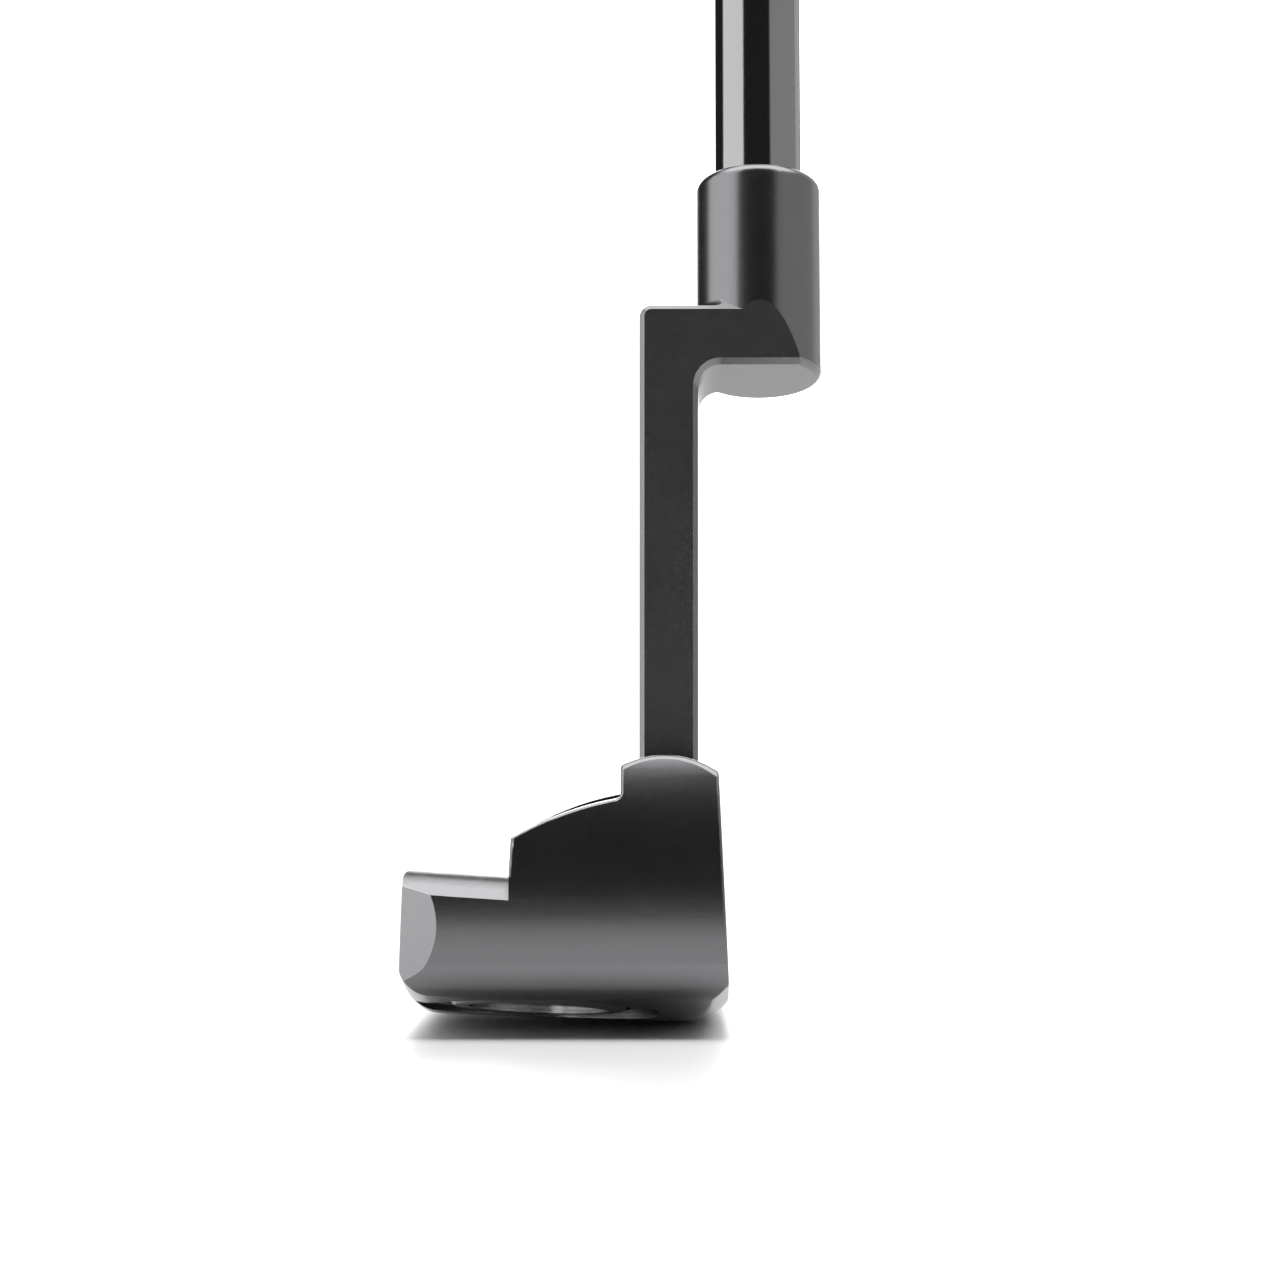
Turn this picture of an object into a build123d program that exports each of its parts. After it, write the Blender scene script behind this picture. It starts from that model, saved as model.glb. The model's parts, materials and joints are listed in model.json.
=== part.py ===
"""Blade putter with a long plumber's neck: head, neck, sole weights, stepped steel shaft and pistol grip.

Millimetres. +X is the way the face looks, +Y runs from toe to heel, +Z is up.
The origin is where the sole touches the ground, under the middle of the top line, half way along the head.
"""

from build123d import *
from math import asin, atan2, cos, degrees, pi, radians, sin, sqrt, tan
import os

# ---------------------------------------------------------------- head, toe view (X and Z)
HEAD_LENGTH = 115.0
TOPLINE_THICKNESS = 9.2
TOPLINE_HEIGHT = 26.6
CROWN_FRONT_DROP = 1.6  # the crowned top line falls this much to the face
CROWN_BACK_DROP = 1.0  # and this much to its back edge
CROWN_PEAK_BACK = 0.4  # the crown's peak lies this far behind the middle of the top line
LOFT = 2.7  # degrees
BUMPER_DEPTH = 10.3  # from the top line's back edge to the bumpers' back wall
BUMPER_FRONT_HEIGHT = 22.5
BUMPER_BACK_HEIGHT = 18.8
BUMPER_BULGE = 0.55  # how far the sloping bumper top rises above a straight line
BUMPER_FOOT_RADIUS = 0.8  # between the top line's back and the bumper
BUMPER_WALL_LEAN = 3.0  # degrees
FLANGE_DEPTH = 10.1  # from the bumpers' back wall to the back edge
FLANGE_FRONT_HEIGHT = 15.25
FLANGE_SLOPE = 3.7  # degrees, rising to the back
FLANGE_EDGE_RADIUS = 0.9
REAR_WALL_LEAN = 2.2  # degrees
EDGE_BREAK = 0.3
CROWN_EDGE_RADIUS = 0.9  # over the toe and heel ends of the crown

# ---------------------------------------------------------------- head, sole
CONTACT_FRONT = 1.7  # the flat strip that touches the ground, in X
CONTACT_BACK = 1.7
CONTACT_HALF_LENGTH = 8.0
LEADING_EDGE_RADIUS = 5.0
SOLE_RELIEF = 2.3  # degrees, the sole rises to the back
SOLE_REAR_RADIUS = 3.0
SOLE_CAMBER_RADIUS = 350.0

# ---------------------------------------------------------------- head, face-on outline (Y and Z)
END_BULGE_RADIUS = 26.0
END_WIDEST_HEIGHT = 10.7
BOTTOM_CORNER_RADIUS = 4.2
OUTLINE_TOP_MARGIN = 1.0  # the end outline passes this far over the crown
REAR_FACET_WIDTH = 3.4  # flat on the rear corners, along X at its widest
REAR_FACET_ANGLE = 15.0  # degrees off the end surface
FLANGE_END_RADIUS = 6.7  # the flange rounds over at each end
FLANGE_END_STEEPEST = 48.0  # degrees from level, where the rounding stops at a crisp edge

# ---------------------------------------------------------------- head, cavity
CAVITY_HALF_LENGTH = 31.0  # at the flange
CAVITY_END_SLOPE = 75.0  # degrees from level, the bumpers' inner walls
POCKET_HALF_LENGTH = 27.5
POCKET_DEPTH_BELOW_FLANGE = 6.0
POCKET_REAR_GAP = 1.2  # the pocket stops this far in front of the flange
POCKET_CORNER_RADIUS = 4.0
PANEL_DEPTH = 1.8  # relief in the back of the face
PANEL_HALF_LENGTH = 25.0
PANEL_TOP_MARGIN = 4.4  # below the top line
PANEL_CORNER_RADIUS = 3.0
SIGHT_LINE_WIDTH = 1.3
SIGHT_LINE_DEPTH = 0.5
SIGHT_LINE_END_MARGIN = 1.1
PAINT_RECESS = 0.08

# ---------------------------------------------------------------- sole weights
WEIGHT_SPACING = 84.0
WEIGHT_SETBACK = 12.6  # behind the middle of the top line
SPOT_FACE_DIAMETER = 23.4
SPOT_FACE_DEPTH = 0.6
WEIGHT_FLANGE_DIAMETER = 17.5
WEIGHT_FLANGE_HEIGHT = 3.0
WEIGHT_BEVEL = 0.7
WEIGHT_RIM = 1.35  # flat ring between the dish and the bevel
WEIGHT_DISH_DEPTH = 0.5
THREAD_DIAMETER = 12.0
THREAD_PITCH = 1.25
THREAD_TURNS = 5
THREAD_DEPTH = 0.6
THREAD_RUNOUT = 1.0
WEIGHT_CLEARANCE = 0.1
PORT_BOTTOM_GAP = 0.5
SPANNER_HOLE_DIAMETER = 2.0
SPANNER_HOLE_DEPTH = 1.6
SPANNER_HOLE_MARGIN = 0.9  # between a spanner hole and the dish's wall
O_RING_SECTION = 1.2
O_RING_GAP = 0.02
MARK_LENGTH = 1.6
MARK_WIDTH = 0.5
MARK_DEPTH = 0.3
MARK_PITCH = 1.1
MARK_COUNT = 3

# ---------------------------------------------------------------- neck
LIE = 73.0  # degrees between the shaft and the ground
NECK_Y = 32.0  # where the shaft axis leaves the bottom of the hosel
PLATE_WIDTH = 6.3
PLATE_DEPTH = 9.3
PLATE_LEAN = 2.0  # degrees towards the heel
PLATE_NEAR_TO_AXIS = 4.95  # plate's toe side to the shaft axis, at the hosel's bottom
PLATE_BEVEL = 0.55
SHAFT_OFFSET = 9.7  # shaft axis in front of the plate's middle
HOSEL_DIAMETER = 13.4
HOSEL_LENGTH = 22.5
HOSEL_BOTTOM_HEIGHT = 67.0
HOSEL_TOP_RADIUS = 1.2
HOSEL_BOTTOM_RADIUS = 0.8
BRIDGE_THICKNESS = 6.1
BRIDGE_INNER_RADIUS = 2.4
BRIDGE_OUTER_RADIUS = 1.3
BRIDGE_SOCKET_FILLET = 1.2  # between the bridge's top and the socket
SPIGOT_WIDTH = 4.4
SPIGOT_DEPTH = 7.6
SPIGOT_LENGTH = 9.0
BRAZE_FILM = 0.1
BORE_DEPTH = 17.7
EPOXY_FILM = 0.1
EPOXY_PAD = 0.4

# ---------------------------------------------------------------- shaft
CLUB_LENGTH = 863.6  # along the shaft, ground to the end of the grip
SHAFT_TIP_DIAMETER = 9.4
SHAFT_BUTT_DIAMETER = 15.0
SHAFT_TIP_WALL = 0.95
SHAFT_BUTT_WALL = 0.65
SHAFT_TIP_PARALLEL = 150.0
SHAFT_STEPS = 14
SHAFT_STEP_RUN = 1.5
SHAFT_BUTT_BELOW_BAND = 28.8  # the parallel butt starts this far below the band
BAND_LENGTH = 12.0
BAND_THICKNESS = 0.15
BAND_BELOW_GRIP = 4.0

# ---------------------------------------------------------------- grip
GRIP_LENGTH = 267.0
TAPE_THICKNESS = 0.35
TAPE_END_MARGIN = 2.0
CAP_THICKNESS = 3.2
CAP_STEM_LENGTH = 9.0
CAP_STEM_CLEARANCE = 0.05
VENT_DIAMETER = 3.0
GRIP_FLAT_SHARE = 0.62  # of the width, the flat front once it is fully formed
GRIP_FLAT_GROWTH = 4.0  # the flat is fully formed after a quarter of the length
GRIP_SHOULDER = (0.93, -0.52)  # shares of the half width and of the front or back
GRIP_HAUNCH = (0.8, 0.62)
GRIP_SPINE = (0.42, 0.92)
GRIP_MOUTH_FLAT = 0.05  # how far the flat is formed at the mouth
# Share of the length, side to side width, flat front to the axis, back to the axis.
GRIP_SECTIONS = (
    (0.0, 19.0, 9.5, 9.5),
    (0.12, 20.4, 9.7, 10.4),
    (0.45, 23.0, 10.0, 12.2),
    (0.75, 25.6, 10.6, 14.6),
    (0.93, 26.8, 11.0, 16.8),
    (1.0, 25.6, 10.8, 15.8),
)

# ---------------------------------------------------------------- worked out from the sizes above
HALF_TOPLINE = TOPLINE_THICKNESS / 2
BUMPER_WALL_X = -HALF_TOPLINE - BUMPER_DEPTH
REAR_X = BUMPER_WALL_X - FLANGE_DEPTH
BUMPER_WALL_RUN = (BUMPER_BACK_HEIGHT - FLANGE_FRONT_HEIGHT) * tan(radians(BUMPER_WALL_LEAN))
FLANGE_FRONT_X = BUMPER_WALL_X - BUMPER_WALL_RUN
HALF_LENGTH = HEAD_LENGTH / 2
FLANGE_REAR_HEIGHT = FLANGE_FRONT_HEIGHT + FLANGE_DEPTH * tan(radians(FLANGE_SLOPE))
LEAN = 90 - LIE
SHAFT_WAY = Vector(0, sin(radians(LEAN)), cos(radians(LEAN)))
HOSEL_BOTTOM = Vector(SHAFT_OFFSET, NECK_Y, HOSEL_BOTTOM_HEIGHT)
# Local Z runs up the shaft, local X is the way the face looks, from the middle of the hosel's bottom.
HOSEL_PLANE = Plane(origin=HOSEL_BOTTOM, x_dir=(1, 0, 0), z_dir=SHAFT_WAY)
BORE_FLOOR = HOSEL_LENGTH - BORE_DEPTH
SHAFT_START = BORE_FLOOR + EPOXY_PAD
GRIP_END = CLUB_LENGTH - HOSEL_BOTTOM_HEIGHT / cos(radians(LEAN))
GRIP_START = GRIP_END - GRIP_LENGTH
SHAFT_END = GRIP_END - CAP_THICKNESS
BAND_START = GRIP_START - BAND_BELOW_GRIP - BAND_LENGTH
SHAFT_TIP_END = SHAFT_START + SHAFT_TIP_PARALLEL
SHAFT_STEP_LENGTH = (BAND_START - SHAFT_BUTT_BELOW_BAND - SHAFT_STEP_RUN - SHAFT_TIP_END) / (SHAFT_STEPS - 1)
FLANGE_SEAT = SPOT_FACE_DEPTH + WEIGHT_FLANGE_HEIGHT
THREAD_START = O_RING_SECTION + THREAD_RUNOUT
THREAD_LENGTH = THREAD_START + THREAD_PITCH * THREAD_TURNS
WEIGHT_NECK = THREAD_DIAMETER / 2 - THREAD_DEPTH
O_RING_RADIUS = WEIGHT_NECK + O_RING_SECTION / 2
WEIGHT_DISH_RADIUS = WEIGHT_FLANGE_DIAMETER / 2 - WEIGHT_BEVEL - WEIGHT_RIM
SPANNER_HOLE_REACH = WEIGHT_DISH_RADIUS - SPANNER_HOLE_MARGIN - SPANNER_HOLE_DIAMETER / 2
BLANK = 60.0  # larger than the head's section, for tools that cut or keep
OVERRUN = 1.0  # a tool runs past what it cuts by this much
NEAR = 1e-3  # two points closer than this are taken as one when edges are picked


def upright(*pieces):
    """A closed face in the X-Z plane, from edges drawn as (x, z)."""
    return Plane.XZ * make_face(Curve() + list(pieces))


def face_x(height):
    """Where the lofted face lies at a height."""
    top = TOPLINE_HEIGHT - CROWN_FRONT_DROP
    return HALF_TOPLINE + (top - height) * tan(radians(LOFT))


def rear_x(height):
    """Where the leaning back wall lies at a height."""
    return REAR_X - (FLANGE_REAR_HEIGHT - height) * tan(radians(REAR_WALL_LEAN))


def flange_z(x):
    """Height of the flange's sloping top."""
    return FLANGE_FRONT_HEIGHT + (BUMPER_WALL_X - x) * tan(radians(FLANGE_SLOPE))


# ================================================================ head
def toe_view():
    """The head's section across its length: face, crowned top line, bumper, flange and back wall."""
    below = -5.0
    face_top = (HALF_TOPLINE, TOPLINE_HEIGHT - CROWN_FRONT_DROP)
    crown = (-CROWN_PEAK_BACK, TOPLINE_HEIGHT)
    back_top = (-HALF_TOPLINE, TOPLINE_HEIGHT - CROWN_BACK_DROP)
    bumper_foot = (-HALF_TOPLINE, BUMPER_FRONT_HEIGHT)
    bumper_end = (BUMPER_WALL_X, BUMPER_BACK_HEIGHT)
    middle = (
        (bumper_foot[0] + bumper_end[0]) / 2,
        (bumper_foot[1] + bumper_end[1]) / 2 + BUMPER_BULGE,
    )
    flange_front = (FLANGE_FRONT_X, FLANGE_FRONT_HEIGHT)
    flange_rear = (REAR_X, FLANGE_REAR_HEIGHT)
    section = upright(
        Line((face_x(below), below), face_top),
        ThreePointArc(face_top, crown, back_top),
        Line(back_top, bumper_foot),
        ThreePointArc(bumper_foot, middle, bumper_end),
        Line(bumper_end, flange_front),
        Line(flange_front, flange_rear),
        Line(flange_rear, (rear_x(below), below)),
        Line((rear_x(below), below), (face_x(below), below)),
    )
    foot = section.vertices().sort_by_distance((bumper_foot[0], 0, bumper_foot[1]))[0]
    section = fillet(foot, BUMPER_FOOT_RADIUS)
    rear = section.vertices().sort_by_distance((flange_rear[0], 0, flange_rear[1]))[0]
    return fillet(rear, FLANGE_EDGE_RADIUS)


def sole_section():
    """The sole's section, closed high above the head: leading edge, contact strip, relief and rear radius."""
    slope = radians(SOLE_RELIEF)
    high = TOPLINE_HEIGHT + BLANK / 2
    nose = (CONTACT_FRONT + LEADING_EDGE_RADIUS, LEADING_EDGE_RADIUS)
    nose_middle = (
        CONTACT_FRONT + LEADING_EDGE_RADIUS * sin(pi / 4),
        LEADING_EDGE_RADIUS * (1 - cos(pi / 4)),
    )
    contact_rear = (-CONTACT_BACK, 0)
    rear_corner = (rear_x(0), (-CONTACT_BACK - rear_x(0)) * tan(slope))
    section = upright(
        Line((nose[0], high), nose),
        ThreePointArc(nose, nose_middle, (CONTACT_FRONT, 0)),
        Line((CONTACT_FRONT, 0), contact_rear),
        Line(contact_rear, rear_corner),
        Line(rear_corner, (rear_x(high), high)),
        Line((rear_x(high), high), (nose[0], high)),
    )
    corner = section.vertices().sort_by_distance((rear_corner[0], 0, rear_corner[1]))[0]
    return fillet(corner, SOLE_REAR_RADIUS)


def cambered_blank():
    """The sole's section carried along the head: level in the middle, curving up to toe and heel."""
    section = sole_section()
    turn = degrees(asin((HALF_LENGTH + SOLE_REAR_RADIUS) / SOLE_CAMBER_RADIUS))
    blank = extrude(section, CONTACT_HALF_LENGTH, both=True)
    for side in (-1, 1):
        start = Pos(0, side * CONTACT_HALF_LENGTH, 0) * section
        hub = Axis((0, side * CONTACT_HALF_LENGTH, SOLE_CAMBER_RADIUS), (1, 0, 0))
        blank += revolve(start, hub, side * turn)
    return blank


def end_outline():
    """The head seen face-on: a bulging toe and heel, rounded into the sole."""
    top = TOPLINE_HEIGHT + OUTLINE_TOP_MARGIN
    hub_y = HALF_LENGTH - END_BULGE_RADIUS
    hub_z = END_WIDEST_HEIGHT
    crown_y = hub_y + sqrt(END_BULGE_RADIUS**2 - (top - hub_z) ** 2)
    slope = asin((HALF_LENGTH - CONTACT_HALF_LENGTH) / SOLE_CAMBER_RADIUS)
    lift = SOLE_CAMBER_RADIUS * (1 - cos(slope))
    low_z = lift + BOTTOM_CORNER_RADIUS
    low_reach = END_BULGE_RADIUS - BOTTOM_CORNER_RADIUS
    low_y = hub_y + sqrt(low_reach**2 - (low_z - hub_z) ** 2)
    low_angle = atan2(low_z - hub_z, low_y - hub_y)
    sole_angle = slope - pi / 2

    def on(centre_y, centre_z, radius, angle):
        return (centre_y + radius * cos(angle), centre_z + radius * sin(angle))

    widest = (HALF_LENGTH, END_WIDEST_HEIGHT)
    low = on(hub_y, hub_z, END_BULGE_RADIUS, low_angle)
    low_middle = on(low_y, low_z, BOTTOM_CORNER_RADIUS, (low_angle + sole_angle) / 2)
    tangent = on(low_y, low_z, BOTTOM_CORNER_RADIUS, sole_angle)
    under = (0, tangent[1] - tangent[0] * tan(slope))
    half = [
        Line((0, top), (crown_y, top)),
        ThreePointArc((crown_y, top), widest, low),
        ThreePointArc(low, low_middle, tangent),
        Line(tangent, under),
        Line(under, (0, top)),
    ]
    face = make_face(Curve() + half)
    return Plane.YZ * (face + mirror(face, Plane.YZ))


def rear_facets():
    """Slabs that cut a slanting flat on the two rear corners."""
    tool = Part()
    turn = radians(REAR_FACET_ANGLE)
    slab = Box(BLANK, BLANK / 4, BLANK * 2, align=(Align.CENTER, Align.MIN, Align.CENTER))
    for side in (-1, 1):
        inner_end = (rear_x(END_WIDEST_HEIGHT) + REAR_FACET_WIDTH, side * HALF_LENGTH, 0)
        away = Vector(-sin(turn), side * cos(turn), 0)
        along = Vector(cos(turn) * side, sin(turn), 0)
        tool += Plane(origin=inner_end, x_dir=along, z_dir=along.cross(away)) * slab
    return tool


def flange_ends():
    """What is cut away where the flange rounds over at toe and heel, behind the bumpers' wall."""
    steepest = radians(FLANGE_END_STEEPEST)
    drop = FLANGE_END_RADIUS * (1 - cos(steepest))
    # The rounding meets the bulging end where the bulge has dropped to its lowest point.
    height = (FLANGE_FRONT_HEIGHT + FLANGE_REAR_HEIGHT) / 2 - drop - END_WIDEST_HEIGHT
    end_y = HALF_LENGTH - END_BULGE_RADIUS + sqrt(END_BULGE_RADIUS**2 - height**2)
    start_y = end_y - FLANGE_END_RADIUS * sin(steepest)
    middle = steepest / 2
    half = make_face(
        Curve()
        + [
            ThreePointArc(
                (start_y, 0),
                (start_y + FLANGE_END_RADIUS * sin(middle), -FLANGE_END_RADIUS * (1 - cos(middle))),
                (end_y, -drop),
            ),
            Line((end_y, -drop), (end_y + BLANK, -drop)),
            Line((end_y + BLANK, -drop), (end_y + BLANK, BLANK)),
            Line((end_y + BLANK, BLANK), (start_y, BLANK)),
            Line((start_y, BLANK), (start_y, 0)),
        ]
    )
    place = Plane(origin=(FLANGE_FRONT_X, 0, FLANGE_FRONT_HEIGHT), x_dir=(0, 1, 0), z_dir=(1, 0, 0))
    way = (-cos(radians(FLANGE_SLOPE)), 0, sin(radians(FLANGE_SLOPE)))
    return extrude(place * (half + mirror(half, Plane.YZ)), BLANK / 2, dir=way)


def cavity():
    """The open back between the bumpers, with a pocket in front of the flange and a relief in the face."""
    low = flange_z(-HALF_TOPLINE)
    spread = (TOPLINE_HEIGHT - low) / tan(radians(CAVITY_END_SLOPE))
    gap = extrude(
        upright(
            *Polyline(
                (-HALF_TOPLINE, low),
                (-HALF_TOPLINE, TOPLINE_HEIGHT),
                (REAR_X, TOPLINE_HEIGHT),
                (REAR_X, flange_z(REAR_X)),
                close=True,
            ).edges()
        ),
        BLANK,
        both=True,
    )
    ends = extrude(
        Plane.YZ
        * make_face(
            Polyline(
                (-CAVITY_HALF_LENGTH, low - OVERRUN),
                (CAVITY_HALF_LENGTH, low - OVERRUN),
                (CAVITY_HALF_LENGTH, low),
                (CAVITY_HALF_LENGTH + spread, TOPLINE_HEIGHT),
                (-CAVITY_HALF_LENGTH - spread, TOPLINE_HEIGHT),
                (-CAVITY_HALF_LENGTH, low),
                close=True,
            )
        ),
        BLANK,
        both=True,
    )
    pocket_back = FLANGE_FRONT_X + POCKET_REAR_GAP
    pocket_depth = -HALF_TOPLINE - pocket_back
    pocket_floor = FLANGE_FRONT_HEIGHT - POCKET_DEPTH_BELOW_FLANGE
    plan = Pos((pocket_back - HALF_TOPLINE) / 2, 0, pocket_floor) * RectangleRounded(
        pocket_depth, POCKET_HALF_LENGTH * 2, POCKET_CORNER_RADIUS
    )
    pocket = extrude(plan, BLANK / 4)
    panel_top = TOPLINE_HEIGHT - PANEL_TOP_MARGIN
    panel_height = panel_top - pocket_floor
    panel_face = Plane(
        origin=(-HALF_TOPLINE + PANEL_DEPTH, 0, pocket_floor + panel_height / 2),
        x_dir=(0, 1, 0),
        z_dir=(-1, 0, 0),
    ) * RectangleRounded(PANEL_HALF_LENGTH * 2, panel_height, PANEL_CORNER_RADIUS)
    panel = extrude(panel_face, PANEL_DEPTH + POCKET_CORNER_RADIUS)
    return (gap & ends) + pocket + panel


def sight_line(depth, recess=0.0):
    """A bar along the flange, sunk from its top; the recess leaves paint a little below the top."""
    length = FLANGE_DEPTH - 2 * SIGHT_LINE_END_MARGIN
    middle = BUMPER_WALL_X - FLANGE_DEPTH / 2
    place = Plane(
        origin=(middle, 0, flange_z(middle)),
        x_dir=(cos(radians(FLANGE_SLOPE)), 0, -sin(radians(FLANGE_SLOPE))),
        z_dir=(sin(radians(FLANGE_SLOPE)), 0, cos(radians(FLANGE_SLOPE))),
    )
    return extrude(place * Pos(0, 0, -depth) * SlotOverall(length, SIGHT_LINE_WIDTH), depth - recess)


def weight_plane(side):
    """Local Z points into the sole along a weight's axis, from the sole's surface."""
    reach = WEIGHT_SPACING / 2 - CONTACT_HALF_LENGTH
    tilt = asin(reach / SOLE_CAMBER_RADIUS)
    slope = radians(SOLE_RELIEF)
    x = -WEIGHT_SETBACK
    z = SOLE_CAMBER_RADIUS * (1 - cos(tilt)) + (WEIGHT_SETBACK - CONTACT_BACK) * tan(slope)
    inward = Vector(sin(slope), -side * sin(tilt), cos(slope) * cos(tilt)).normalized()
    across = Vector(cos(slope), 0, -sin(slope))
    return Plane(origin=(x, side * WEIGHT_SPACING / 2, z), x_dir=across, z_dir=inward)


def disc(radius, low, high):
    """A round bar on local Z between two heights."""
    return Pos(0, 0, (low + high) / 2) * Cylinder(radius, high - low)


def weight_port():
    """Spot face, counterbore and threaded hole, as one cutting tool."""
    port = disc(SPOT_FACE_DIAMETER / 2, -SPOT_FACE_DIAMETER / 4, SPOT_FACE_DEPTH)
    port += disc(WEIGHT_FLANGE_DIAMETER / 2 + WEIGHT_CLEARANCE, 0, FLANGE_SEAT)
    port += disc(O_RING_RADIUS + O_RING_SECTION / 2, 0, FLANGE_SEAT + O_RING_SECTION)
    port += disc(THREAD_DIAMETER / 2 + WEIGHT_CLEARANCE, 0, FLANGE_SEAT + THREAD_LENGTH + PORT_BOTTOM_GAP)
    return port


def spigot(clearance):
    """The neck's foot: a rounded bar that goes down into the head."""
    bar = SlotOverall(SPIGOT_DEPTH + 2 * clearance, SPIGOT_WIDTH + 2 * clearance, rotation=90)
    depth = SPIGOT_LENGTH + clearance
    foot_y = plate_middle_y(TOPLINE_HEIGHT)
    foot_z = TOPLINE_HEIGHT - CROWN_FRONT_DROP - depth
    return extrude(Pos(0, foot_y, foot_z) * bar, depth + CROWN_FRONT_DROP * 2)


def end_rim(body, on_crown):
    """The sharp edges round each end: those of the crown, or those of the bumper, its wall and the face."""
    rim = []
    for surface in body.faces().filter_by(GeomType.CYLINDER):
        if abs(surface.center().Y) < HALF_LENGTH - END_BULGE_RADIUS / 2:
            continue
        for edge in surface.edges():
            middle = edge.center()
            along_x = abs((edge @ 1 - edge @ 0).normalized().X) > 1 - NEAR
            crown = middle.Z > TOPLINE_HEIGHT - CROWN_FRONT_DROP
            wanted = middle.Z > END_WIDEST_HEIGHT and middle.X > FLANGE_FRONT_X
            if wanted and not along_x and crown == on_crown:
                rim.append(edge)
    return rim


def head():
    """Milled head: its section, cut to the face-on outline and the cambered sole, then bored and pocketed."""
    body = extrude(toe_view(), HEAD_LENGTH, both=True)
    body &= extrude(end_outline(), BLANK, both=True)
    body &= cambered_blank()
    body -= rear_facets()
    body = fillet(end_rim(body, True), CROWN_EDGE_RADIUS)
    body = fillet(end_rim(body, False), EDGE_BREAK)
    body -= flange_ends()
    body -= cavity()
    body -= sight_line(SIGHT_LINE_DEPTH)
    for side in (-1, 1):
        body -= weight_plane(side) * weight_port()
    body -= spigot(BRAZE_FILM)
    return body


# ================================================================ weights
def weight():
    """A threaded weight on local Z: bevelled flange with a dished face, relieved neck and thread."""
    outer = WEIGHT_FLANGE_DIAMETER / 2
    dish = WEIGHT_DISH_RADIUS
    top = SPOT_FACE_DEPTH - WEIGHT_BEVEL / 2
    thread = THREAD_DIAMETER / 2
    start = FLANGE_SEAT + THREAD_START
    outline = [
        (0, top + WEIGHT_DISH_DEPTH),
        (dish, top + WEIGHT_DISH_DEPTH),
        (dish, top),
        (outer - WEIGHT_BEVEL, top),
        (outer, top + WEIGHT_BEVEL),
        (outer, FLANGE_SEAT),
        (WEIGHT_NECK, FLANGE_SEAT),
        (WEIGHT_NECK, start),
    ]
    for turn in range(THREAD_TURNS):
        outline.append((thread, start + (turn + 0.5) * THREAD_PITCH))
        outline.append((WEIGHT_NECK, start + (turn + 1) * THREAD_PITCH))
    outline.append((0, start + THREAD_TURNS * THREAD_PITCH))
    body = revolve(Plane.XZ * make_face(Polyline(*outline, close=True)), Axis.Z, 360)
    for side in (-1, 1):
        hole = disc(SPANNER_HOLE_DIAMETER / 2, 0, top + WEIGHT_DISH_DEPTH + SPANNER_HOLE_DEPTH)
        body -= Pos(0, side * SPANNER_HOLE_REACH, 0) * hole
    return body - weight_marks(MARK_DEPTH, 0)


def weight_marks(depth, recess):
    """Short parallel bars engraved in the dish."""
    floor = SPOT_FACE_DEPTH - WEIGHT_BEVEL / 2 + WEIGHT_DISH_DEPTH
    bars = Part()
    for index in range(MARK_COUNT):
        x = (index - (MARK_COUNT - 1) / 2) * MARK_PITCH
        bars += Pos(x, 0, floor + (depth + recess) / 2) * Box(MARK_WIDTH, MARK_LENGTH, depth - recess)
    return bars


def o_ring():
    """Rubber ring under the weight's flange, round the relieved neck."""
    ring = Torus(O_RING_RADIUS, O_RING_SECTION / 2 - O_RING_GAP)
    return Pos(0, 0, FLANGE_SEAT + O_RING_SECTION / 2) * ring


# ================================================================ neck
def near_plane_y(height):
    """The plate's toe side at a height."""
    at_bottom_y = NECK_Y - PLATE_NEAR_TO_AXIS * cos(radians(LEAN))
    at_bottom_z = HOSEL_BOTTOM_HEIGHT + PLATE_NEAR_TO_AXIS * sin(radians(LEAN))
    return at_bottom_y + (height - at_bottom_z) * tan(radians(PLATE_LEAN))


def plate_middle_y(height):
    """The middle of the plate, toe to heel, at a height."""
    return near_plane_y(height) + PLATE_DEPTH / 2 / cos(radians(PLATE_LEAN))


def leaning_slab(low, high):
    """A wide slab that leans as the plate does, between two depths behind the plate's toe side."""
    place = Plane(
        origin=(0, near_plane_y(0), 0),
        x_dir=(1, 0, 0),
        z_dir=(0, sin(radians(PLATE_LEAN)), cos(radians(PLATE_LEAN))),
    )
    return place * Pos(0, (low + high) / 2, 0) * Box(BLANK * 4, high - low, BLANK * 6)


def plate_and_bridge():
    """Upright plate and the bridge to the hosel, drawn square to the shaft and cut to the leaning slab."""
    left = -PLATE_WIDTH / 2 - SHAFT_OFFSET
    right = PLATE_WIDTH / 2 - SHAFT_OFFSET
    foot = -BLANK
    towards_toe = Vector(0, -cos(radians(LEAN)), sin(radians(LEAN)))
    section = make_face(
        Polyline(
            (left, foot),
            (right, foot),
            (right, 0),
            (0, 0),
            (0, BRIDGE_THICKNESS),
            (left, BRIDGE_THICKNESS),
            close=True,
        )
    )
    inner = section.vertices().sort_by_distance((right, 0, 0))[0]
    section = fillet(inner, BRIDGE_INNER_RADIUS)
    outer = section.vertices().sort_by_distance((left, BRIDGE_THICKNESS, 0))[0]
    section = fillet(outer, BRIDGE_OUTER_RADIUS)
    place = Plane(origin=HOSEL_BOTTOM, x_dir=(1, 0, 0), z_dir=towards_toe)
    return extrude(place * section, BLANK, both=True) & leaning_slab(0, PLATE_DEPTH)


def hosel():
    """The socket round the shaft, rounded at its mouth."""
    body = HOSEL_PLANE * disc(HOSEL_DIAMETER / 2, 0, HOSEL_LENGTH)
    return fillet(body.edges().filter_by(GeomType.CIRCLE).sort_by(Axis.Z)[-1], HOSEL_TOP_RADIUS)


def off_axis(point):
    """How far a point lies from the shaft's axis."""
    reach = point - HOSEL_BOTTOM
    return (reach - SHAFT_WAY * reach.dot(SHAFT_WAY)).length


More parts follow.
